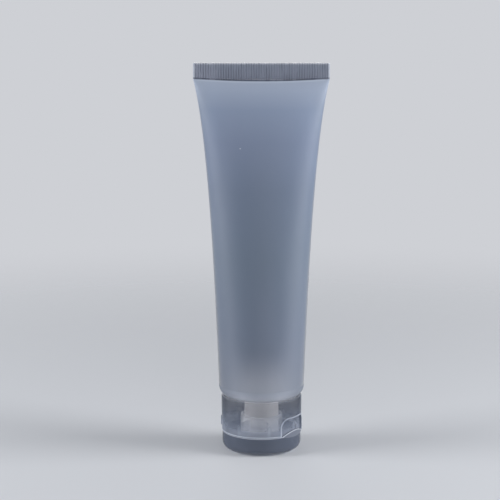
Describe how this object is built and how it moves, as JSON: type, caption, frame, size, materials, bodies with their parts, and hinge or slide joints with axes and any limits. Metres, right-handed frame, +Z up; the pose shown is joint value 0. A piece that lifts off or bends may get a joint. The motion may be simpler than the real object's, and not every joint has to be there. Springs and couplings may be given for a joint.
{
  "type": "travel squeeze tube",
  "caption": "Frosted refillable squeeze tube with a flat crimped seal, standing upside down on its clear flip-top screw cap.",
  "frame": {"origin": "centre of the lid's flat face, on the surface that the tube stands on", "axes": "+Z up along the tube towards the heat seal, X along the heat seal, -Y to the front"},
  "size_m": [0.0508, 0.0324, 0.147],
  "materials": {
    "frosted_sleeve": "frosted, translucent",
    "frosted_head": "frosted, translucent",
    "clear_cap": "clear, slightly hazy",
    "clear_lid": "clear, slightly hazy",
    "clear_hinge": "clear, slightly hazy"
  },
  "bodies": {
    "cap": {"cap_base": "clear_cap", "hinge_film": "clear_hinge"},
    "lid": {"cap_lid": "clear_lid"},
    "tube": {"tube_sleeve": "frosted_sleeve", "tube_head": "frosted_head"}
  },
  "joints": [
    {"name": "lid_hinge", "type": "hinge", "parent": "cap", "child": "lid", "pos_m": [-0.01339, 0.00903, 0.0072], "axis": [0.5592, 0.829, 0], "range_deg": [0, 180], "deforming": ["hinge_film"]},
    {"name": "cap_unscrew", "type": "slide", "parent": "cap", "child": "tube", "axis": [0, 0, 1], "range_m": [0, 0.02]}
  ]
}
